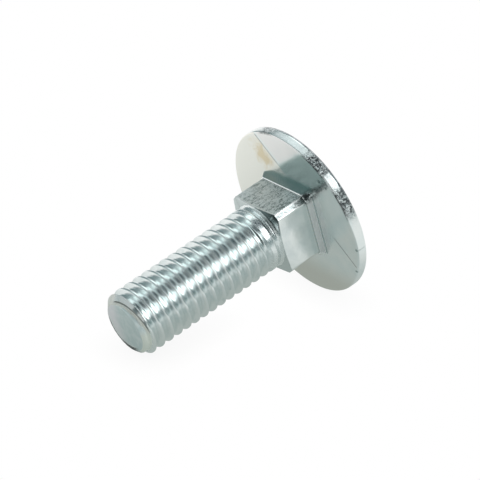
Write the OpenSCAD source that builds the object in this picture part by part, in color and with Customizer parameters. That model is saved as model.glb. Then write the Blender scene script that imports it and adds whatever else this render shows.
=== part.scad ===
// Carriage bolt, metric M8 x 25, forged and rolled in one piece.
// The bolt lies as it comes to rest: on the head's rim and on the thread's end.
// The row's X runs along the bolt, with the thread's end at -X and the head at +X.

/* [Thread] */
// Diameter over the thread crests
thread_d = 7.85; // [6:0.05:12]
// Distance from one crest to the next
pitch = 1.25; // [0.8:0.05:1.75]
// Width of the flat on each crest
crest_flat = 0.2; // [0.1:0.01:0.4]
// Width of the flat at each root
root_flat = 0.26; // [0.15:0.01:0.5]
// Where the thread starts, from the end of the neck
runout_gap = 0.6; // [0.2:0.05:6]
// Turns over which the first groove reaches its depth
runout_turns = 1; // [0.5:0.25:2]
// Straight pieces in one turn of the helix
turn_steps = 28; // [16:4:48]

/* [Shank] */
// Length from under the head to the thread's end
length = 24.95; // [16:0.05:120]
// Chamfer at the thread's end, across the radius
tip_chamfer = 0.95; // [0.2:0.05:1.5]
// Angle of that chamfer against the axis
tip_angle = 50; // [20:1:60]
// Diameter of the plain shank next to the neck, before the thread rises
blank_d = 7.3; // [5:0.05:14]
// Length of that plain shank
blank_len = 0.45; // [0.2:0.05:30]
// Length of the slope from the plain shank up to the crests
blank_rise = 0.5; // [0.2:0.05:3]

/* [Head] */
// Diameter of the mushroom head
head_d = 20.8; // [14:0.1:34]
// Height of the head over its flat underside
head_h = 3.4; // [2:0.1:8]
// Radius of the rim on the underside
rim_low_r = 0.2; // [0.1:0.05:0.5]
// Radius of the rim towards the dome
rim_top_r = 0.55; // [0.2:0.05:1]
// Rise of the dome between the rim and the middle
dome_rise = 2.1; // [0.5:0.1:6]

/* [Neck] */
// Width of the square neck across its flats
neck_w = 8; // [6:0.05:14]
// Length of the neck under the head
neck_h = 5.2; // [3:0.05:12]
// Flat cut on each corner of the neck
neck_bevel = 0.85; // [0.1:0.05:2]
// How far each side flares out where it meets the head
flare_out = 0.2; // [0:0.05:1]
// Length of that flare
flare_h = 0.9; // [0.2:0.05:2]
// Step at the start of the flare, facing the thread
flare_step = 0.14; // [0:0.02:0.4]
// Slope at the neck's end, down to the shank
nose_angle = 80; // [20:1:85]
// Radius of the fillet between the neck and the shank
nose_fillet = 0.35; // [0.1:0.05:1]

/* [Resting pose] */
// Turn of the square neck against the flat it lies over
neck_turn = 2.9; // [-45:0.1:45]
// Turn of the thread's start about the axis
thread_turn = 266; // [0:1:360]

/* [Hidden] */
$fn = 96;
zinc = [0.72, 0.75, 0.78];

thread_r = thread_d / 2;
head_r = head_d / 2;
neck_r = neck_w / 2;
blank_r = blank_d / 2;
overlap = 0.4;

// head: dome sphere, and the rim circles that touch it and the cylindrical edge
dome_r = (head_r * head_r + dome_rise * dome_rise) / (2 * dome_rise);
dome_z = dome_r - head_h;
rim_top_x = head_r - rim_top_r;
rim_top_z = dome_z - sqrt(pow(dome_r - rim_top_r, 2) - pow(rim_top_x, 2));
dome_end_x = rim_top_x * dome_r / (dome_r - rim_top_r);

// thread groove: half widths at the root, just over the crest and at the outside
half_groove = (pitch - crest_flat) / 2;
flank = tan(30);
root_r = thread_r - (half_groove - root_flat / 2) / flank;
lip = thread_r * (1 / cos(180 / turn_steps) - 1) + 0.03;
lip_half = half_groove + lip * flank;
outer_half = (lip_half + pitch / 2) / 2;
outer_r = thread_r + 0.3;
groove_from = neck_h + runout_gap;
groove_to = length + 1.6 * pitch;
steps = ceil((groove_to - groove_from) / pitch * turn_steps);
clear_out = outer_r - root_r;

// the resting pose: a line that touches the underside's rim and the last crest below
tip_r = thread_r - tip_chamfer;
thread_end = length - tip_chamfer / tan(tip_angle);
crest_first = groove_from + pitch * (180 - thread_turn) / 360 + (pitch + crest_flat) / 2;
crest_end = crest_first + pitch * floor((thread_end - crest_first) / pitch);
arm_r = head_r - rim_low_r - thread_r;
arm_z = crest_end + rim_low_r;
arm = sqrt(arm_r * arm_r + arm_z * arm_z);
lean = acos(-rim_low_r / arm) - atan2(arm_z, arm_r);
drop = thread_r * cos(lean) + crest_end * sin(lean);
shift = (tip_r * sin(lean) + length * cos(lean) - dome_r + dome_z * cos(lean)) / 2;

// The 2D outline of the head, right of the axis, with the underside on y = 0.
module head_outline() {
  intersection() {
    translate([0, dome_z]) circle(dome_r);
    union() {
      translate([0, -head_h]) square([dome_end_x, head_h - rim_low_r]);
      translate([0, -rim_low_r * 2]) square([head_r - rim_low_r, rim_low_r * 2]);
      translate([head_r / 2, rim_top_z]) square([head_r / 2, -rim_top_z - rim_low_r]);
      translate([rim_top_x, rim_top_z]) circle(rim_top_r);
      translate([head_r - rim_low_r, -rim_low_r]) circle(rim_low_r);
    }
  }
}

// The shallow mushroom head, its top towards -Z.
module head() {
  rotate_extrude() head_outline();
}

// One pair of neck sides, w wide and wide over the flare, drawn out along Y.
module neck_pair(w, wide) {
  step = w + flare_step;
  step_z = flare_h - flare_step / 2;
  outline = [
    [-wide, -overlap], [wide, -overlap], [wide, 0], [step, step_z], [w, flare_h],
    [w, neck_h + overlap], [-w, neck_h + overlap], [-w, flare_h], [-step, step_z], [-wide, 0]
  ];
  rotate([90, 0, 0]) linear_extrude(4 * neck_w, center = true) polygon(outline);
}

// The square neck with flared sides, bevelled corners and a sloping end.
module neck() {
  corner = (neck_w - neck_bevel / sqrt(2)) / sqrt(2);
  corner_wide = (neck_w / 2 + flare_out) * sqrt(2);
  nose_r = neck_w;
  nose_len = (nose_r - blank_r - nose_fillet) * tan(90 - nose_angle);
  intersection() {
    neck_pair(neck_r, neck_r + flare_out);
    rotate([0, 0, 90]) neck_pair(neck_r, neck_r + flare_out);
    rotate([0, 0, 45]) neck_pair(corner, corner_wide);
    rotate([0, 0, -45]) neck_pair(corner, corner_wide);
    union() {
      translate([0, 0, -overlap]) cylinder(h = neck_h - nose_len + overlap, r = nose_r);
      translate([0, 0, neck_h - nose_len])
        cylinder(h = nose_len, r1 = nose_r, r2 = blank_r + nose_fillet);
    }
  }
}

// The fillet ring between the neck's end and the shank.
module fillet_ring() {
  translate([0, 0, neck_h]) rotate_extrude() difference() {
    translate([0, -nose_fillet]) square([blank_r + nose_fillet, 2 * nose_fillet]);
    translate([blank_r + nose_fillet, nose_fillet]) circle(nose_fillet);
  }
}

// The round shank: plain next to the neck, then as wide as the crests, chamfered at its end.
module shank() {
  rise_z = neck_h + blank_len;
  full_z = rise_z + blank_rise;
  translate([0, 0, -overlap]) cylinder(h = rise_z + overlap, r = blank_r);
  translate([0, 0, rise_z]) cylinder(h = blank_rise, r1 = blank_r, r2 = thread_r);
  translate([0, 0, full_z]) cylinder(h = thread_end - full_z, r = thread_r);
  translate([0, 0, thread_end])
    cylinder(h = length - thread_end, r1 = thread_r, r2 = tip_r);
}

// Four points of the groove's cross-section at step i, right-handed helix.
function groove_out(i) = clear_out * max(0, 1 - i / (runout_turns * turn_steps));
function groove_point(r, z, a) = [r * cos(a), r * sin(a), z];
function groove_ring(i) =
  let (a = 360 * i / turn_steps)
  let (z = groove_from + pitch * i / turn_steps)
  let (s = groove_out(i))
  [
    groove_point(root_r + s, z - root_flat / 2, a),
    groove_point(root_r + s, z + root_flat / 2, a),
    groove_point(thread_r + lip + s, z + lip_half, a),
    groove_point(outer_r + s, z + outer_half, a),
    groove_point(outer_r + s, z - outer_half, a),
    groove_point(thread_r + lip + s, z - lip_half, a)
  ];

// The helical cutter that leaves the thread standing.
module groove() {
  n = 6;
  points = [for (i = [0 : steps]) each groove_ring(i)];
  sides = [
    for (i = [0 : steps - 1], k = [0 : n - 1], half = [0, 1])
      let (p = i * n + k)
      let (q = i * n + (k + 1) % n)
      half == 0 ? [p, q + n, q] : [p, p + n, q + n]
  ];
  last = steps * n;
  caps = [
    for (k = [1 : n - 2]) [0, k, k + 1],
    for (k = [1 : n - 2]) [last, last + k + 1, last + k]
  ];
  polyhedron(points = points, faces = concat(sides, caps), convexity = 20);
}

// The whole bolt on its own axis, underside on Z = 0, thread towards +Z.
module bolt() {
  difference() {
    union() {
      head();
      rotate([0, 0, neck_turn]) neck();
      fillet_ring();
      shank();
    }
    rotate([0, 0, thread_turn]) groove();
  }
}

// The bolt laid down on the rim of its head and the end of its thread.
module carriage_bolt() {
  color(zinc) translate([shift, 0, drop]) rotate([0, -90 - lean, 0]) bolt();
}

carriage_bolt();
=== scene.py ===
"""Carriage bolt, lying on the rim of its head and the end of its thread.

The bolt's own frame is in millimetres: the head's flat underside is z = 0, the thread runs
towards +z and the dome towards -z. LAY turns it to the row's frame, in metres.
"""

import math

import bpy
import numpy as np
from mathutils import Matrix, Vector, noise


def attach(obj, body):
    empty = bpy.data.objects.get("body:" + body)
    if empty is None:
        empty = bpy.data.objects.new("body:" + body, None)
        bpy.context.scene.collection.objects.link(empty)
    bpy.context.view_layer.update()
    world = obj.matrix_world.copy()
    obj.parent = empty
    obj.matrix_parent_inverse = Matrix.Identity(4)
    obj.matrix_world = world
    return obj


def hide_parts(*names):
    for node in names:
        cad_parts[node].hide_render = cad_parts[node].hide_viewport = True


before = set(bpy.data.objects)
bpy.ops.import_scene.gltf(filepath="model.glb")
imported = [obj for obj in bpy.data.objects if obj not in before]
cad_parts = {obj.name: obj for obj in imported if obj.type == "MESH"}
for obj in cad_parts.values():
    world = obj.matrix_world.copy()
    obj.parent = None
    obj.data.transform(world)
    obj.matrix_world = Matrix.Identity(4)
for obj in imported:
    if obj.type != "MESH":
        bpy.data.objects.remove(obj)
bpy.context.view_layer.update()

# sizes, as in the part's source
THREAD_R = 3.925
PITCH = 1.25
CREST_FLAT = 0.2
ROOT_FLAT = 0.26
THREAD_TURN = math.radians(266)
RUNOUT_GAP = 0.6
LENGTH = 24.95
TIP_CHAMFER = 0.95
TIP_ANGLE = math.radians(50)
BLANK_R = 3.65
BLANK_LEN = 0.45
BLANK_RISE = 0.5
HEAD_R = 10.4
HEAD_H = 3.4
RIM_LOW_R = 0.2
RIM_TOP_R = 0.55
DOME_RISE = 2.1
NECK_R = 4.0
NECK_H = 5.2
NECK_BEVEL = 0.85
FLARE_OUT = 0.2
FLARE_H = 0.9
FLARE_STEP = 0.14
NOSE_ANGLE = math.radians(80)
NOSE_FILLET = 0.35
NECK_TURN = math.radians(2.9)

TURN = 2 * math.pi
FLANK = math.tan(math.radians(30))
NOSE_SLOPE = math.tan(math.pi / 2 - NOSE_ANGLE)
NOSE_R = BLANK_R + NOSE_FILLET
ROOT_R = THREAD_R - ((PITCH - CREST_FLAT) / 2 - ROOT_FLAT / 2) / FLANK
GROOVE_FROM = NECK_H + RUNOUT_GAP
THREAD_END = LENGTH - TIP_CHAMFER / math.tan(TIP_ANGLE)
TIP_R = THREAD_R - TIP_CHAMFER
DOME_R = (HEAD_R ** 2 + DOME_RISE ** 2) / (2 * DOME_RISE)
DOME_Z = DOME_R - HEAD_H

# how far the plating fills the thread's root
ROOT_ZINC = 0.10
# the first groove: its lift, and the turns before and over which it sinks to its depth
RUNOUT_LIFT = 0.62
RUNOUT_DELAY = 0.15
RUNOUT_TURNS = 1.1
# how widely the surfaces are rounded into each other
CREST_SOFT = 0.07
ROOT_SOFT = 0.06
TIP_SOFT = 0.10
BEVEL_SOFT = 0.06
NOSE_SOFT = 0.12

# the resting pose, worked out as in the part's source
crest_first = (GROOVE_FROM + PITCH * (math.pi - THREAD_TURN) / TURN
               + (PITCH + CREST_FLAT) / 2)
crest_end = crest_first + PITCH * math.floor((THREAD_END - crest_first) / PITCH)
arm_r = HEAD_R - RIM_LOW_R - THREAD_R
arm_z = crest_end + RIM_LOW_R
LEAN = math.acos(-RIM_LOW_R / math.hypot(arm_r, arm_z)) - math.atan2(arm_z, arm_r)
DROP = THREAD_R * math.cos(LEAN) + crest_end * math.sin(LEAN)
SHIFT = (TIP_R * math.sin(LEAN) + LENGTH * math.cos(LEAN)
         - DOME_R + DOME_Z * math.cos(LEAN)) / 2
LAY = (Matrix.Translation((SHIFT / 1000, 0, DROP / 1000))
       @ Matrix.Rotation(-math.pi / 2 - LEAN, 4, "Y") @ Matrix.Scale(0.001, 4))

# the camera: its place in millimetres, where it looks and its lens
CAMERA_AT = (-158.6438, -199.593, 139.8368)
CAMERA_LOOK = (0.559098, 0.693486, -0.454409)
CAMERA_LENS = 194.29
CAMERA_SENSOR = 36

# soft parts of the studio: azimuth, elevation, inner and outer half angle, colour
STUDIO_BASE = (0.24, 0.34, 0.34)
STUDIO = [
    # the dim part around the camera
    (-142, 25, 38, 55, (0.07, 0.09, 0.09)),
    # the large light overhead, with a dark middle
    (-30, 66, 15, 38, (2.55, 2.78, 2.78)),
    (-19, 67, 21, 27, (0.02, 0.04, 0.05)),
    # a small light high behind the bolt
    (51, 57, 11, 16, (1.35, 1.52, 1.50)),
    # a dim wall behind it
    (91, 27, 20, 35, (0.20, 0.26, 0.27)),
    # a light and a paler wall high on the thread's side
    (130, 60, 10, 24, (0.95, 1.14, 1.17)),
    (149, 41, 17, 29, (0.46, 0.51, 0.51)),
    # a dark part low to the right, and a bright light nearer to the camera
    (-56, 15, 7, 17, (0.10, 0.13, 0.14)),
    (-80, 36, 10, 16, (2.90, 3.00, 3.00)),
    # pale low parts behind the head
    (12, 21, 5, 13, (1.17, 1.17, 1.18)),
    (32, 6, 20, 38, (1.50, 1.50, 1.52)),
]

# the floor, in metres: half its width, the stretch on both sides of the middle that the dark
# tone follows, and the reach of the faint shadow
FLOOR_HALF = 3.0
FLOOR_STRETCH = 0.010
SHADOW_REACH = 0.004

WHITE = (1.0, 1.0, 1.0)
ZINC = (0.93, 0.95, 0.95)

# the die line's direction on the underside, and the dents in the rim: x, y and size
DIE_COS, DIE_SIN = 0.7355, 0.6780
DENTS = [(6.81, -6.01, 0.34), (6.36, -6.95, 0.28), (-0.9, -10.15, 0.26), (-4.3, -9.25, 0.22)]


def smooth_min(a, b, k):
    """The smaller of a and b, rounded over k where they meet."""
    h = np.clip(0.5 + 0.5 * (b - a) / k, 0, 1)
    return b * (1 - h) + a * h - k * h * (1 - h)


def smooth_max(a, b, k):
    """The larger of a and b, rounded over k where they meet."""
    return -smooth_min(-a, -b, k)


def step01(x, lo, hi):
    """0 below lo, 1 above hi, smooth between."""
    t = np.clip((x - lo) / (hi - lo), 0, 1)
    return t * t * (3 - 2 * t)


def wave(points, size, seed):
    """Smooth noise, about -1 to 1, at points in millimetres."""
    off = Vector((seed * 7.31, seed * 3.17, seed * 5.71))
    return np.array([noise.noise(Vector(p) / size + off) for p in points])


def direction(az, el):
    """Unit vector at an azimuth from +X and an elevation, in degrees."""
    a, e = math.radians(az), math.radians(el)
    return (math.cos(a) * math.cos(e), math.sin(a) * math.cos(e), math.sin(e))


def link_object(name, data):
    ob = bpy.data.objects.new(name, data)
    bpy.context.scene.collection.objects.link(ob)
    return ob


class Nodes:
    """Short helpers for building a node tree."""

    def __init__(self, tree, out_kind):
        self.tree = tree
        tree.nodes.clear()
        self.out = self.add(out_kind)

    def add(self, kind):
        return self.tree.nodes.new(kind)

    def link(self, a, b):
        self.tree.links.new(a, b)

    def put(self, socket, value):
        """Link an output or set a value; a colour of three numbers gets an alpha of 1."""
        if hasattr(value, "is_linked"):
            self.link(value, socket)
        elif isinstance(value, tuple):
            socket.default_value = (*value, 1)
        else:
            socket.default_value = value

    def split(self, vector):
        """The three parts of a vector."""
        node = self.add("ShaderNodeSeparateXYZ")
        self.link(vector, node.inputs[0])
        return node.outputs

    def math(self, op, a, b=0.0, clamp=False):
        node = self.add("ShaderNodeMath")
        node.operation = op
        node.use_clamp = clamp
        self.put(node.inputs[0], a)
        self.put(node.inputs[1], b)
        return node.outputs[0]

    def join(self, op, values):
        """All the values joined by op, from the left."""
        total = values[0]
        for value in values[1:]:
            total = self.math(op, total, value)
        return total

    def times(self, *values):
        return self.join("MULTIPLY", values)

    def plus(self, *values):
        return self.join("ADD", values)

    def largest(self, *values):
        """The largest of the values."""
        return self.join("MAXIMUM", values)

    def minus(self, a, b):
        return self.math("SUBTRACT", a, b)

    def invert(self, value):
        return self.minus(1.0, value)

    def absolute(self, value):
        return self.math("ABSOLUTE", value)

    def length(self, a, b):
        """Length of the vector (a, b)."""
        return self.math("SQRT", self.plus(self.math("POWER", a, 2), self.math("POWER", b, 2)))

    def remap(self, value, lo, hi, out_lo=0.0, out_hi=1.0, smooth=True):
        """Value taken from lo..hi to out_lo..out_hi and held beyond the ends."""
        node = self.add("ShaderNodeMapRange")
        node.interpolation_type = "SMOOTHSTEP" if smooth else "LINEAR"
        self.put(node.inputs["Value"], value)
        node.inputs["From Min"].default_value = lo
        node.inputs["From Max"].default_value = hi
        node.inputs["To Min"].default_value = out_lo
        node.inputs["To Max"].default_value = out_hi
        return node.outputs["Result"]

    def window(self, value, lo, hi, soft):
        """1 between lo and hi, 0 outside, with soft ends."""
        return self.times(self.remap(value, lo - soft, lo + soft),
                          self.remap(value, hi - soft, hi + soft, 1, 0))

    def mix(self, factor, a, b):
        """Colour a where the factor is 0, b where it is 1."""
        node = self.add("ShaderNodeMix")
        node.data_type = "RGBA"
        self.put(node.inputs["Factor"], factor)
        self.put(node.inputs["A"], a)
        self.put(node.inputs["B"], b)
        return node.outputs["Result"]

    def glow(self, kind, name, value):
        """A shader of a kind, with one of its inputs set."""
        node = self.add(kind)
        self.put(node.inputs[name], value)
        return node.outputs[0]

    def finish_stage(self, reflected, seen):
        """One shader for the metal's reflections and another for what the camera sees itself."""
        path = self.add("ShaderNodeLightPath")
        mix = self.add("ShaderNodeMixShader")
        self.link(path.outputs["Is Camera Ray"], mix.inputs["Fac"])
        self.link(reflected, mix.inputs[1])
        self.link(seen, mix.inputs[2])
        self.link(mix.outputs[0], self.out.inputs["Surface"])


class BoltNodes(Nodes):
    """Nodes of a material that knows each point's place in the bolt's own frame."""

    def __init__(self, name):
        self.mat = bpy.data.materials.new(name)
        self.mat.use_nodes = True
        super().__init__(self.mat.node_tree, "ShaderNodeOutputMaterial")
        place = self.add("ShaderNodeAttribute")
        place.attribute_name = "bolt_mm"
        self.pos = place.outputs["Vector"]
        self.x, self.y, self.z = self.split(self.pos)
        self.radius = self.length(self.x, self.y)
        # in degrees: 0 is above the axis, 180 below it
        self.azimuth = self.times(self.math("ARCTAN2", self.y, self.x), 180 / math.pi)

    def noise(self, size, detail=4, rough=0.55, stretch=(1, 1, 1), distort=0.0):
        """Noise with features of about size millimetres."""
        scaled = self.add("ShaderNodeVectorMath")
        scaled.operation = "MULTIPLY"
        self.link(self.pos, scaled.inputs[0])
        scaled.inputs[1].default_value = tuple(s / size for s in stretch)
        node = self.add("ShaderNodeTexNoise")
        self.link(scaled.outputs["Vector"], node.inputs["Vector"])
        node.inputs["Scale"].default_value = 1.0
        node.inputs["Detail"].default_value = detail
        node.inputs["Roughness"].default_value = rough
        node.inputs["Distortion"].default_value = distort
        return node.outputs["Fac"]

    def bump(self, height, distance_mm, normal=None):
        node = self.add("ShaderNodeBump")
        node.inputs["Strength"].default_value = 1.0
        node.inputs["Distance"].default_value = distance_mm / 1000
        self.link(height, node.inputs["Height"])
        if normal is not None:
            self.link(normal, node.inputs["Normal"])
        return node.outputs["Normal"]

    def finish(self, colour, rough, normal, metallic=1.0):
        bsdf = self.add("ShaderNodeBsdfPrincipled")
        self.put(bsdf.inputs["Metallic"], metallic)
        self.put(bsdf.inputs["Base Color"], colour)
        self.put(bsdf.inputs["Roughness"], rough)
        self.link(normal, bsdf.inputs["Normal"])
        self.link(bsdf.outputs[0], self.out.inputs["Surface"])
        return self.mat


# camera, floor and light
def make_camera():
    """The photo's camera, fitted to the bolt's outline."""
    cam = bpy.data.cameras.new("photo_camera")
    cam.lens = CAMERA_LENS
    cam.sensor_width = CAMERA_SENSOR
    cam.sensor_fit = "HORIZONTAL"
    cam.clip_start = 0.01
    cam.clip_end = 50
    ob = link_object("photo_camera", cam)
    look = Vector(CAMERA_LOOK).normalized()
    ob.location = Vector(CAMERA_AT) / 1000
    ob.rotation_euler = look.to_track_quat("-Z", "Y").to_euler()
    bpy.context.scene.camera = ob


def make_floor():
    """A white floor; metal sees it darkened towards the bolt by a painted shadow, and it keeps a
    faint shadow.
    """
    half = FLOOR_HALF
    me = bpy.data.meshes.new("floor")
    me.from_pydata([(-half, -half, 0), (half, -half, 0), (half, half, 0), (-half, half, 0)],
                   [], [(0, 1, 2, 3)])
    ob = link_object("floor", me)
    mat = bpy.data.materials.new("pale_floor")
    mat.use_nodes = True
    n = Nodes(mat.node_tree, "ShaderNodeOutputMaterial")
    x, y, _ = n.split(n.add("ShaderNodeNewGeometry").outputs["Position"])
    # painted shadow of the bolt: darker next to it
    past = n.largest(n.minus(n.absolute(x), FLOOR_STRETCH), 0.0)
    near = n.remap(n.length(past, y), 0.003, 0.026)
    colour = n.mix(near, (0.39, 0.44, 0.42), (0.74, 0.79, 0.78))
    # whiter far behind the bolt, and dimmer in one place in front of the neck
    colour = n.mix(n.remap(y, 0.020, 0.060), colour, (0.95, 0.97, 0.96))
    spot = n.length(n.minus(x, 0.003), n.plus(y, 0.017))
    colour = n.mix(n.remap(spot, 0.015, 0.007), colour, (0.40, 0.46, 0.45))
    # the camera sees white, a little darker where the bolt is close
    close = n.add("ShaderNodeAmbientOcclusion")
    close.inputs["Distance"].default_value = SHADOW_REACH
    faint = n.remap(close.outputs["AO"], 0.0, 1.0, 0.92, 1.0, smooth=False)
    n.finish_stage(n.glow("ShaderNodeEmission", "Color", colour),
                   n.glow("ShaderNodeEmission", "Strength", faint))
    me.materials.append(mat)


def make_world():
    """The studio that the metal reflects; the camera itself sees white."""
    world = bpy.data.worlds.new("studio")
    bpy.context.scene.world = world
    world.use_nodes = True
    n = Nodes(world.node_tree, "ShaderNodeOutputWorld")
    tex = n.add("ShaderNodeTexCoord")
    colour = STUDIO_BASE
    for az, el, inner, outer, tone in STUDIO:
        dot = n.add("ShaderNodeVectorMath")
        dot.operation = "DOT_PRODUCT"
        n.link(tex.outputs["Generated"], dot.inputs[0])
        dot.inputs[1].default_value = direction(az, el)
        near = n.remap(dot.outputs["Value"], math.cos(math.radians(outer)),
                       math.cos(math.radians(inner)))
        colour = n.mix(near, colour, tone)
    n.finish_stage(n.glow("ShaderNodeBackground", "Color", colour),
                   n.glow("ShaderNodeBackground", "Color", WHITE))


make_camera()
make_floor()
make_world()
bpy.context.scene.view_settings.view_transform = "Standard"


# the bolt's surface
def thread_radius(theta, z):
    """Radius of the rolled thread over the angle and the height on the bolt's axis."""
    turn = (z - GROOVE_FROM) / PITCH - (theta - THREAD_TURN) / TURN - 0.5
    from_crest = np.abs(turn - np.round(turn)) * PITCH
    rise = NECK_H + BLANK_LEN
    full = BLANK_R + (THREAD_R - BLANK_R) * step01(z, rise - 0.1, rise + BLANK_RISE)
    flank = THREAD_R - (from_crest - CREST_FLAT / 2) / FLANK
    # the first groove comes in over a turn
    start = GROOVE_FROM + RUNOUT_DELAY * PITCH
    gone = RUNOUT_LIFT * (1 - step01(z, start, start + RUNOUT_TURNS * PITCH))
    r = smooth_min(full, flank + gone, CREST_SOFT)
    r = smooth_max(r, ROOT_R + ROOT_ZINC + gone, ROOT_SOFT)
    r = np.minimum(r, full)
    # the chamfer at the end
    cone = THREAD_R - (z - THREAD_END) * math.tan(TIP_ANGLE)
    r = smooth_min(r, cone, TIP_SOFT)
    # the fillet that flares out into the neck and draws in again inside it
    up = np.clip(NECK_H + NOSE_FILLET - z, 0, None)
    arc = np.where(up < NOSE_FILLET,
                   NOSE_FILLET - np.sqrt(np.clip(NOSE_FILLET ** 2 - up ** 2, 0, None)),
                   NOSE_FILLET - (up - NOSE_FILLET) * 0.2)
    return r + arc


def neck_radius(phi, z):
    """Radius of the square neck; phi is counted from the middle of one side."""
    step_z = FLARE_H - FLARE_STEP / 2

    def widened(narrow, wide):
        return np.interp(z, [0, step_z, FLARE_H], [wide, narrow + FLARE_STEP, narrow])

    half = widened(NECK_R, NECK_R + FLARE_OUT)
    side = half / np.maximum(np.abs(np.cos(phi)), np.abs(np.sin(phi)))
    corner = (2 * NECK_R - NECK_BEVEL / math.sqrt(2)) / math.sqrt(2)
    diag = widened(corner, (NECK_R + FLARE_OUT) * math.sqrt(2))
    quarter = np.mod(phi, math.pi / 2) - math.pi / 4
    r = smooth_min(side, diag / np.cos(quarter), BEVEL_SOFT)
    return smooth_min(r, NOSE_R + (NECK_H - z) / NOSE_SLOPE, NOSE_SOFT)


def ring_points(theta, r, z):
    return np.stack([r * np.cos(theta), r * np.sin(theta), z], axis=-1)


def grid_mesh(grid, shift_rows=0, cap_low=False, cap_high=False):
    """Points and faces of a grid (rows, columns, 3) whose rows are rings.

    With shift_rows, a ring's end meets the ring so many rows further on, as in a helix.
    """
    rows, cols, _ = grid.shape
    verts = grid.reshape(-1, 3).tolist()
    faces = []
    for j in range(rows - 1):
        for i in range(cols):
            a = j * cols + i
            if i + 1 < cols:
                b = a + 1
            elif j + 1 + shift_rows < rows:
                b = (j + shift_rows) * cols
            else:
                continue
            faces.append((a, b, b + cols, a + cols))
    if cap_low:
        faces.append(tuple(reversed(range(cols))))
    if cap_high:
        faces.append(tuple((rows - 1) * cols + i for i in range(cols)))
    return verts, faces


def make_piece(name, verts, faces, mats, materials, sharp):
    """A smooth mesh laid down in the row's frame, with edges above the angle sharp."""
    me = bpy.data.meshes.new(name)
    me.from_pydata(verts, [], faces)
    # each point keeps its place in the bolt's own frame, for the material
    keep = me.attributes.new("bolt_mm", "FLOAT_VECTOR", "POINT")
    keep.data.foreach_set("vector", np.array(verts, dtype=float).ravel())
    me.transform(LAY)
    for m in materials:
        me.materials.append(m)
    me.polygons.foreach_set("material_index", mats)
    me.polygons.foreach_set("use_smooth", [True] * len(faces))
    me.update()
    me.set_sharp_from_angle(angle=math.radians(sharp))
    return link_object(name, me)


def make_thread():
    """The threaded shank: rings that follow the helix, closed by the flat end."""
    cols, per_turn = 160, 24
    # the rings start inside the neck, and run past the end, where they are drawn together
    turns_before, turns_more = 2.0, 3.2
    theta = np.arange(cols) * TURN / cols
    rows = int((LENGTH - NECK_H + turns_more * PITCH) / PITCH * per_turn)
    s = NECK_H - turns_before * PITCH + np.arange(rows) * PITCH / per_turn
    free = s[:, None] + PITCH * theta[None, :] / TURN
    z = np.clip(free, NECK_H - 0.6, LENGTH)
    th = np.broadcast_to(theta[None, :], z.shape)
    r = thread_radius(th, z)
    # slightly uneven, less so in the root
    flat = ring_points(th, r, z).reshape(-1, 3)
    uneven = wave(flat, 1.5, 1) * 0.006 + wave(flat, 0.5, 2) * 0.002
    r = r + uneven.reshape(r.shape) * step01(r, ROOT_R, ROOT_R + 0.3)
    closing = 1.1 * PITCH
    r = np.where(free > LENGTH, r * np.clip(1 - (free - LENGTH) / closing, 0, 1), r)
    verts, faces = grid_mesh(ring_points(th, r, z), shift_rows=per_turn)
    # the chamfer and the end face have a material of their own
    mats = [int(all(verts[v][2] >= THREAD_END - 0.02 for v in face)) for face in faces]
    return make_piece("shank_and_thread", verts, faces, mats, [MAT_THREAD, MAT_END], 40)


def make_neck():
    """The square neck, with closer rings at the flare's step and along the front edge."""
    # wide columns on each side up to one angle, narrow ones round the corner from the other
    wide_to, narrow_from = 0.62, 0.645
    side = np.concatenate([np.linspace(-wide_to, wide_to, 15),
                           np.linspace(narrow_from, math.pi / 2 - narrow_from, 26)])
    phi = np.concatenate([side + k * math.pi / 2 for k in range(4)])
    zz = np.concatenate([np.linspace(-0.3, FLARE_H - 0.1, 14),
                         np.linspace(FLARE_H - 0.06, FLARE_H + 0.06, 7),
                         np.linspace(FLARE_H + 0.1, NECK_H - 0.6, 26),
                         np.linspace(NECK_H - 0.55, NECK_H, 30)])
    ph = np.broadcast_to(phi[None, :], (len(zz), len(phi)))
    zg = np.broadcast_to(zz[:, None], ph.shape)
    r = neck_radius(ph, np.clip(zg, 0, None))
    pts = ring_points(ph + NECK_TURN, r, zg).reshape(-1, 3)
    r = r + (wave(pts, 2.2, 5) * 0.02).reshape(r.shape)
    verts, faces = grid_mesh(ring_points(ph + NECK_TURN, r, zg), cap_high=True)
    return make_piece("square_neck", verts, faces, [0] * len(faces), [MAT_NECK], 28)


def make_head():
    """The mushroom head, turned round from its outline."""
    inner = 0.05
    low = HEAD_R - RIM_LOW_R
    prof = [(x, 0.0) for x in np.linspace(inner, low, 24)]
    # the rim's lower rounding, its upright edge and its upper rounding
    for a in np.linspace(0, math.pi / 2, 7)[1:]:
        prof.append((low + RIM_LOW_R * math.sin(a), -RIM_LOW_R + RIM_LOW_R * math.cos(a)))
    xc = HEAD_R - RIM_TOP_R
    zc = DOME_Z - math.sqrt((DOME_R - RIM_TOP_R) ** 2 - xc ** 2)
    for t in np.linspace(0, 1, 6)[1:-1]:
        prof.append((HEAD_R, -RIM_LOW_R + t * (zc + RIM_LOW_R)))
    end = math.atan2(DOME_Z - zc, xc)
    for a in np.linspace(0, end, 12):
        prof.append((xc + RIM_TOP_R * math.cos(a), zc - RIM_TOP_R * math.sin(a)))
    # the dome
    for x in np.linspace(prof[-1][0], inner, 40)[1:]:
        prof.append((x, DOME_Z - math.sqrt(DOME_R ** 2 - x ** 2)))
    prof = np.array(prof)
    cols = 256
    # turned the other way round, so that the faces look outwards
    th = np.broadcast_to(-np.arange(cols) * TURN / cols, (len(prof), cols))
    r = np.broadcast_to(prof[:, :1], th.shape)
    zg = np.broadcast_to(prof[:, 1:], th.shape)
    verts, faces = grid_mesh(ring_points(th, r, zg), cap_low=True, cap_high=True)
    return make_piece("mushroom_head", verts, faces, [0] * len(faces), [MAT_HEAD], 50)


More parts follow.
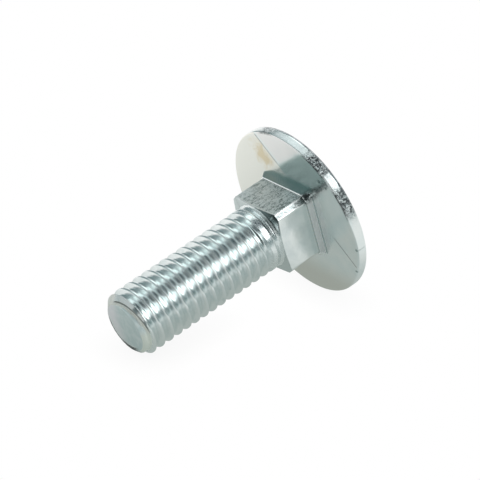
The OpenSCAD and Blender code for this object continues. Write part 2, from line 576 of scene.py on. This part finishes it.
# the plating
def thread_material():
    """Bright zinc, slightly darker in the root."""
    n = BoltNodes("zinc_thread")
    cloud = n.noise(1.5, 4)
    grain = n.noise(0.20, 3, 0.6)
    above_root = n.remap(n.radius, ROOT_R + ROOT_ZINC - 0.02, ROOT_R + 0.34)
    colour = n.mix(n.remap(cloud, 0.30, 0.52), (0.82, 0.87, 0.87), ZINC)
    colour = n.mix(above_root, (0.80, 0.85, 0.85), colour)
    normal = n.bump(grain, 0.004)
    normal = n.bump(cloud, 0.012, normal)
    # fine rings and a duller surface next to the neck
    next_to = n.remap(n.z, NECK_H + 1.0, NECK_H + 2.0, 1, 0)
    rings = n.noise(1.0, 3, 0.6, stretch=(0.15, 0.15, 8.0))
    normal = n.bump(n.times(rings, next_to), 0.012, normal)
    rough = n.plus(n.remap(grain, 0.3, 0.7, 0.18, 0.27), n.times(next_to, 0.04))
    return n.finish(colour, rough, normal)


def end_material():
    """The end face, its pale ring and the chamfer, with the mark left by cropping."""
    n = BoltNodes("zinc_end")
    cloud = n.noise(1.1, 5, 0.6, distort=0.5)
    grain = n.noise(0.16, 3, 0.7)
    colour = n.mix(n.remap(cloud, 0.35, 0.65), (0.70, 0.79, 0.80), (0.82, 0.88, 0.89))
    # lighter towards the left, and a painted highlight in an arc just inside the lower edge
    colour = n.mix(n.remap(n.plus(n.y, cloud), 0.4, 2.6), colour, (1.0, 0.96, 1.0))
    below = n.largest(n.remap(n.azimuth, 72, 95), n.remap(n.azimuth, -150, -165))
    arc = n.times(n.window(n.radius, 2.40, 2.72, 0.06), below)
    colour = n.mix(arc, colour, WHITE)
    # the dark line that leaves the face next to the thread, with a sandy line inside it
    line_r = n.minus(3.32, n.times(n.azimuth, 0.0053))
    past = n.minus(n.radius, line_r)
    near = n.window(n.azimuth, -88, 25, 8)
    sandy = n.mix(n.remap(grain, 0.35, 0.65), (0.80, 0.77, 0.71), (1.0, 0.99, 0.95))
    ring = n.times(n.remap(n.plus(past, n.times(cloud, 0.2)), -0.28, -0.14), near)
    colour = n.mix(ring, colour, sandy)
    line = n.times(n.remap(n.absolute(past), 0.03, 0.085, 1, 0), near)
    colour = n.mix(n.times(line, 0.85), colour, (0.07, 0.08, 0.08))
    # outside that line, patches of painted highlight on a pale stretch and on a stretch of
    # painted dark reflection
    outside = n.times(n.remap(past, 0.03, 0.09), near)
    turn = n.plus(n.azimuth, n.times(grain, 12))
    painted_glints = n.largest(n.window(turn, -24, 10, 3), n.window(turn, -52, -36, 3))
    spots = n.mix(n.window(turn, -66, -20, 6), (0.80, 0.84, 0.84), (0.26, 0.31, 0.32))
    colour = n.mix(outside, colour, n.mix(painted_glints, spots, WHITE))
    # the broad pale chamfer below it
    chamfer = n.times(n.remap(n.radius, 2.92, 3.02), n.window(n.azimuth, -150, -80, 10))
    colour = n.mix(chamfer, colour, (0.98, 1.0, 0.93))
    # the sandy edge at the upper left, a painted dark reflection along the lower edge, and the
    # burr
    upper_left = n.times(n.remap(n.radius, 2.85, 2.98), n.window(n.azimuth, 22, 95, 8))
    colour = n.mix(upper_left, colour, sandy)
    edge = n.times(n.remap(n.plus(n.radius, n.times(cloud, 0.12)), 2.80, 2.88),
                   n.remap(n.azimuth, 80, 105))
    burr_and_dark_edge = n.times(n.remap(n.absolute(n.azimuth), 140, 170),
                   n.remap(n.plus(n.radius, n.times(grain, 0.4)), 2.68, 2.80))
    burr_and_dark_edge = n.largest(burr_and_dark_edge, edge)
    speckled = n.mix(n.remap(grain, 0.44, 0.66), (0.03, 0.04, 0.04), (0.5, 0.5, 0.49))
    colour = n.mix(burr_and_dark_edge, colour, speckled)

    normal = n.bump(cloud, 0.02)
    normal = n.bump(n.times(grain, n.plus(n.times(burr_and_dark_edge, 6), 1)), 0.02, normal)
    rough = n.plus(n.remap(ring, 0, 1, 0.36, 0.50), n.times(outside, -0.26))
    # the pale parts and the painted highlight arc are less metallic, as they look pale from all
    # sides
    pale_and_highlit = n.largest(ring, chamfer, arc, upper_left)
    metallic = n.math("SUBTRACT", n.remap(pale_and_highlit, 0, 1, 0.8, 0.4, smooth=False),
                      n.times(outside, painted_glints, 0.7), clamp=True)
    return n.finish(colour, rough, normal, metallic=metallic)


def neck_material():
    """Forged sides: the upper one mottled by the die, the others smoother, with painted
    highlights on the edges and painted shade.
    """
    n = BoltNodes("zinc_neck")
    blotch = n.noise(0.62, 6, 0.72, stretch=(1, 1, 0.5), distort=1.6)
    speck = n.noise(0.15, 4, 0.75, stretch=(1, 1, 0.5), distort=1.0)
    cloud = n.noise(2.2, 3)
    mottle = n.plus(n.times(blotch, 0.5), n.times(speck, 0.5))
    # how far each point lies before the cone of the front face: 0 on that face
    inward = n.times(n.minus(n.radius, NOSE_R), NOSE_SLOPE)
    ahead = n.minus(n.plus(n.z, inward), NECK_H)
    front = n.remap(ahead, -0.07, -0.03)
    front_edge = n.window(ahead, -0.22, -0.03, 0.02)
    body = n.remap(n.z, FLARE_H - 0.02, FLARE_H + 0.02)
    flare = n.invert(body)
    ledge = n.window(n.z, FLARE_H - 0.10, FLARE_H + 0.01, 0.02)
    upper = n.window(n.azimuth, -38, 46, 1.5)
    right = n.window(n.azimuth, -133, -46, 2)

    # the upper side, paler towards its left corner
    dark = n.mix(n.remap(n.azimuth, 8, 44), (0.15, 0.19, 0.19), (0.44, 0.49, 0.49))
    rough_tone = n.mix(n.remap(mottle, 0.41, 0.53), dark, (0.98, 1.0, 1.0))
    # the other sides, with a painted shaded band before the flare
    smooth_tone = n.mix(n.remap(cloud, 0.35, 0.65), (0.86, 0.89, 0.89), (0.97, 0.98, 0.97))
    before = n.times(n.window(n.z, 0.9, 1.55, 0.25), right)
    smooth_tone = n.mix(n.times(before, 0.55), smooth_tone, (0.68, 0.74, 0.73))
    colour = n.mix(upper, smooth_tone, rough_tone)
    # the flare: dim on the upper side; on the right one a painted lit strip, with painted shade
    # next to the head and a grey line at the step
    collar = n.times(flare, upper, n.invert(ledge))
    colour = n.mix(collar, colour, (0.46, 0.54, 0.54))
    half = n.mix(n.remap(n.z, 0.05, 0.11), (0.46, 0.53, 0.52), (1.0, 1.0, 0.96))
    half = n.mix(n.window(n.z, 0.84, 0.95, 0.02), half, (0.48, 0.54, 0.53))
    colour = n.mix(n.times(flare, right), colour, half)
    # the front face: a painted dark reflection round the near corner, paler elsewhere
    shade = n.mix(n.window(n.azimuth, -58, -4, 16), (0.70, 0.74, 0.74), (0.13, 0.16, 0.16))
    colour = n.mix(front, colour, shade)
    # painted highlights on the front edge, the flare's step and the near bevel, and a painted
    # lit strip on the flare's right side
    near_corner = n.window(n.azimuth, -47, -37.5, 0.8)
    bevel = n.times(near_corner, n.window(n.z, 1.5, NECK_H + 1, 0.4), n.invert(front))
    lit = n.times(n.window(n.z, 0.09, 0.84, 0.03), right, 0.9)
    painted_edge_glint = n.largest(n.times(n.largest(ledge, front_edge), upper), bevel)
    colour = n.mix(n.largest(lit, painted_edge_glint), colour, (0.99, 1.0, 1.0))
    # painted shade, speckled, at the end of the near corner where it meets the head
    corner_shade = n.times(n.window(n.azimuth, -49, -36, 3), n.window(n.z, -0.2, 1.15, 0.2))
    speckled_shade = n.mix(n.remap(speck, 0.46, 0.60), (0.05, 0.06, 0.06), (0.85, 0.88, 0.88))
    colour = n.mix(corner_shade, colour, speckled_shade)

    flat = n.times(upper, body, n.invert(front))
    normal = n.bump(n.times(mottle, n.remap(flat, 0, 1, 0.04, 1.0, smooth=False)), 0.20)
    # the front edge leans towards the light
    leaning = n.times(n.remap(ahead, -0.24, -0.03, 0, 1, smooth=False), upper)
    normal = n.bump(leaning, 0.05, normal)
    normal = n.bump(cloud, 0.05, normal)
    rough = n.plus(n.remap(flat, 0, 1, 0.22, 0.28), n.times(lit, 0.2))
    return n.finish(colour, rough, normal, metallic=n.remap(lit, 0, 1, 1.0, 0.0, smooth=False))


def head_material():
    """Glossy underside with a die line, a stain and dents; the rim is torn in places."""
    n = BoltNodes("zinc_head")
    cloud = n.noise(2.6, 4)
    grain = n.noise(0.18, 3, 0.6)
    tear = n.noise(0.42, 5, 0.75, stretch=(1, 1, 0.7), distort=1.0)
    under = n.remap(n.z, -0.12, -0.02)
    colour = n.mix(n.remap(cloud, 0.35, 0.65), (0.88, 0.92, 0.92), (0.96, 0.965, 0.955))
    # die line across the underside, off the centre: v runs along it, u across
    u = n.minus(n.times(n.x, DIE_COS), n.times(n.y, DIE_SIN))
    v = n.plus(n.times(n.x, DIE_SIN), n.times(n.y, DIE_COS))
    off = n.absolute(n.minus(u, n.remap(v, -9, 9, 3.72, 3.66, smooth=False)))
    line = n.times(n.remap(off, 0.025, 0.10, 1, 0), n.remap(n.absolute(v), 4.6, 5.8), under,
                   n.remap(n.radius, HEAD_R - 0.35, HEAD_R - 0.2, 1, 0))
    # a painted dark reflection of the neck above its upper side, and a faint pink next to that
    left = n.plus(n.y, n.times(n.x, 1.37))
    right = n.plus(n.y, n.times(n.x, 1.10))
    neck_reflection = n.times(n.remap(left, 9.0, 10.0, 1, 0), n.remap(right, 0.2, 1.1),
                   n.remap(n.x, 3.7, 4.3), under)
    colour = n.mix(neck_reflection, colour, (0.52, 0.62, 0.60))
    pink = n.times(n.remap(left, 9.4, 10.6), n.remap(u, 3.7, 4.6), under, 0.8)
    colour = n.mix(pink, colour, (1.0, 0.94, 0.93))
    # a warmer tone and a yellowish stain that end at the die line
    beyond = n.remap(u, 3.60, 3.72, 1, 0)
    warm = n.times(n.remap(v, 2.0, 6.0), beyond, under)
    colour = n.mix(warm, colour, (0.99, 0.95, 0.89))
    spread = n.length(n.math("DIVIDE", n.minus(u, 2.3), 1.7),
                      n.math("DIVIDE", n.minus(v, 6.9), 2.2))
    smear = n.noise(1.1, 4, 0.65, distort=0.7)
    spread = n.plus(spread, n.times(n.minus(smear, 0.5), 2.6))
    stain = n.times(n.remap(spread, 0.1, 1.3, 0.75, 0), beyond, n.remap(v, 5.0, 6.2), under)
    colour = n.mix(stain, colour, (0.80, 0.64, 0.40))
    # painted shade: a browner, darker tone towards the edge that touches the ground
    lower = n.times(n.remap(n.x, -4.5, -8.5), under)
    colour = n.mix(lower, colour, (0.80, 0.77, 0.72))
    # torn stretches of the rim
    torn = n.largest(n.window(n.azimuth, -42, -23, 4), n.window(n.azimuth, -71, -52, 4),
                     n.times(n.window(n.azimuth, 8, 20, 4), 0.6))
    torn = n.times(torn, n.remap(n.radius, HEAD_R - 0.30, HEAD_R - 0.12))
    ragged = n.mix(n.remap(tear, 0.44, 0.60), (0.05, 0.055, 0.06), (0.80, 0.82, 0.82))
    colour = n.mix(torn, colour, ragged)
    # painted highlights on stretches of the edge, with a painted dark reflection line along
    # their outside
    bright = n.largest(n.window(n.azimuth, -22, 6, 4), n.window(n.azimuth, -52, -42, 2))
    bright = n.times(bright, n.remap(n.radius, HEAD_R - 0.12, HEAD_R - 0.04),
                     n.window(n.z, -0.90, 0.1, 0.05))
    colour = n.mix(bright, colour, WHITE)
    outline = n.times(n.window(n.azimuth, -60, 30, 8), n.window(n.z, -1.35, -1.02, 0.05),
                      n.remap(n.radius, HEAD_R - 0.35, HEAD_R - 0.20))
    uneven = n.mix(n.remap(tear, 0.40, 0.62), (0.10, 0.11, 0.12), (0.42, 0.45, 0.46))
    colour = n.mix(outline, colour, uneven)
    # small dents
    spots = []
    for cx, cy, size in DENTS:
        away = n.length(n.minus(n.x, cx), n.minus(n.y, cy))
        away = n.plus(away, n.times(n.minus(tear, 0.5), 0.4))
        spots.append(n.remap(away, size * 0.35, size, 1, 0))
    dents = n.times(n.largest(*spots), n.remap(n.z, -1.2, -1.0))
    colour = n.mix(n.times(dents, 0.65), colour, (0.12, 0.20, 0.19))
    colour = n.mix(n.times(line, 0.62), colour, (0.10, 0.12, 0.12))

    normal = n.bump(n.times(tear, torn), 0.16)
    normal = n.bump(n.invert(n.largest(line, dents)), 0.02, normal)
    normal = n.bump(cloud, 0.035, normal)
    normal = n.bump(grain, 0.003, normal)
    rough = n.plus(n.remap(grain, 0.3, 0.7, 0.14, 0.21), n.times(under, 0.05),
                   n.times(bright, 0.30))
    return n.finish(colour, rough, normal)


MAT_THREAD = thread_material()
MAT_END = end_material()
MAT_NECK = neck_material()
MAT_HEAD = head_material()

for piece in (make_thread(), make_neck(), make_head()):
    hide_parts("carriage_bolt")
    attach(piece, "root")
